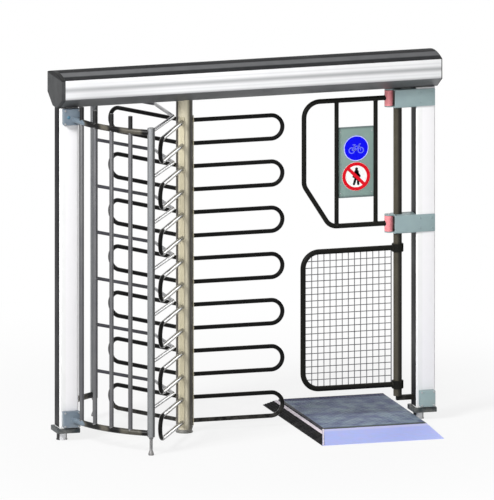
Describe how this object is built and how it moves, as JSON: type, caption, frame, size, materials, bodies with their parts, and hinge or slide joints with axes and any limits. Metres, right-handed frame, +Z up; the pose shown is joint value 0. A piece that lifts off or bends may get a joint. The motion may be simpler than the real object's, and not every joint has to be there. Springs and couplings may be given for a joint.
{
  "type": "full height turnstile",
  "caption": "Full height turnstile with a three-wing hooped rotor, a curved bar cage and a fixed comb, beside a sprung gate for bicycles with a ramped floor plate, all under one header.",
  "frame": {"origin": "on the floor, on the rotor's axis, at the underside of the floor bearing", "axes": "+X along the header from the rotor to the gate, +Y to the rear, +Z up"},
  "size_m": [2.423, 1.289, 2.288],
  "materials": {
    "white_paint": "satin powder coat, near white",
    "dark_grey_paint": "satin dark grey coat",
    "end_cap_plastic": "moulded dark grey plastic",
    "bright_steel": "long brushed grain, bright",
    "grey_steel": "satin ground steel tube",
    "blue_grey_paint": "satin blue-grey coat",
    "black_paint": "gloss black powder coat",
    "cream_paint": "satin cream coat",
    "red_paint": "gloss pale red enamel",
    "sign_grey": "matt grey-green sheet",
    "sign_blue": "gloss blue sign face",
    "sign_red": "gloss red and white sign face",
    "deck_steel": "worn grey-blue chequer plate",
    "ramp_paint": "matt lilac-blue coat",
    "zinc_steel": "bright zinc plate",
    "belt_rubber": "matt black rubber"
  },
  "bodies": {
    "frame": {"post_left": "white_paint", "post_right": "white_paint", "foot_left": "dark_grey_paint", "foot_right": "dark_grey_paint", "header_tray": "dark_grey_paint", "header_front_cover": "bright_steel", "header_rear_cover": "bright_steel", "header_lid": "dark_grey_paint", "header_end_cap_left": "end_cap_plastic", "header_end_cap_right": "end_cap_plastic", "cage_block_front_top": "blue_grey_paint", "cage_block_front_bottom": "blue_grey_paint", "cage_front_panel": "grey_steel", "cage_foot_front": "zinc_steel", "cage_block_rear_top": "blue_grey_paint", "cage_block_rear_bottom": "blue_grey_paint", "cage_rear_panel": "grey_steel", "cage_foot_rear": "zinc_steel", "post_block_right": "blue_grey_paint", "comb_bar_1": "grey_steel", "comb_bar_2": "grey_steel", "comb_bar_3": "grey_steel", "comb_bar_4": "grey_steel", "comb_bar_5": "grey_steel", "comb_bar_6": "grey_steel", "comb_bar_7": "grey_steel", "floor_bearing": "grey_steel", "drive_plate": "zinc_steel", "head_bearing": "grey_steel", "drive_motor": "dark_grey_paint", "drive_belt": "belt_rubber", "solenoid_body": "dark_grey_paint", "control_box": "blue_grey_paint", "gate_jamb": "black_paint", "gate_bracket_top": "blue_grey_paint", "gate_bracket_middle": "blue_grey_paint", "hinge_pin_top": "zinc_steel", "hinge_pin_middle": "zinc_steel", "platform_deck": "deck_steel", "platform_front_ramp": "ramp_paint", "platform_side_ramp": "black_paint"},
    "rotor": {"rotor_column": "cream_paint", "rotor_shaft": "zinc_steel", "rotor_wing_1": "black_paint", "rotor_wing_2": "black_paint", "rotor_wing_3": "black_paint", "locking_disc": "zinc_steel", "rotor_pulley": "grey_steel"},
    "motor_pulley": {"motor_pulley": "grey_steel"},
    "pawl": {"locking_pawl": "zinc_steel"},
    "plunger": {"solenoid_plunger": "zinc_steel"},
    "upper_leaf": {"upper_leaf_frame": "black_paint", "sign_panel": "sign_grey", "cycle_sign": "sign_blue", "no_walking_sign": "sign_red", "hinge_knuckle_top": "red_paint", "hinge_knuckle_middle": "red_paint"},
    "lower_leaf": {"lower_leaf_frame": "black_paint", "lower_leaf_mesh": "zinc_steel"}
  },
  "joints": [
    {"name": "rotor_spin", "type": "hinge", "parent": "frame", "child": "rotor", "pos_m": [0, 0, 0], "axis": [0, 0, 1], "continuous": true},
    {"name": "motor_spin", "type": "hinge", "parent": "frame", "child": "motor_pulley", "pos_m": [0.23, 0, 2.215], "axis": [0, 0, 1], "continuous": true},
    {"name": "pawl_pivot", "type": "hinge", "parent": "frame", "child": "pawl", "pos_m": [-0.108, 0.07, 2.189], "axis": [0, 0, 1], "range_deg": [0, 11.5], "stiffness_Nm_per_rad": 0.6},
    {"name": "plunger_slide", "type": "slide", "parent": "frame", "child": "plunger", "axis": [-1, 0, 0], "range_m": [0, 0.0069]},
    {"name": "upper_leaf_hinge", "type": "hinge", "parent": "frame", "child": "upper_leaf", "pos_m": [1.3, 0, 1.61], "axis": [0, 0, 1], "range_deg": [-90, 90], "stiffness_Nm_per_rad": 12},
    {"name": "lower_leaf_hinge", "type": "hinge", "parent": "frame", "child": "lower_leaf", "pos_m": [1.356, 0, 0.646], "axis": [0, 0, 1], "range_deg": [-90, 90], "stiffness_Nm_per_rad": 15}
  ],
  "couplings": [
    {"joint": "motor_spin", "follows": "rotor_spin", "ratio": 3.5},
    {"joint": "plunger_slide", "follows": "pawl_pivot", "m_per_rad": 0.0335}
  ]
}
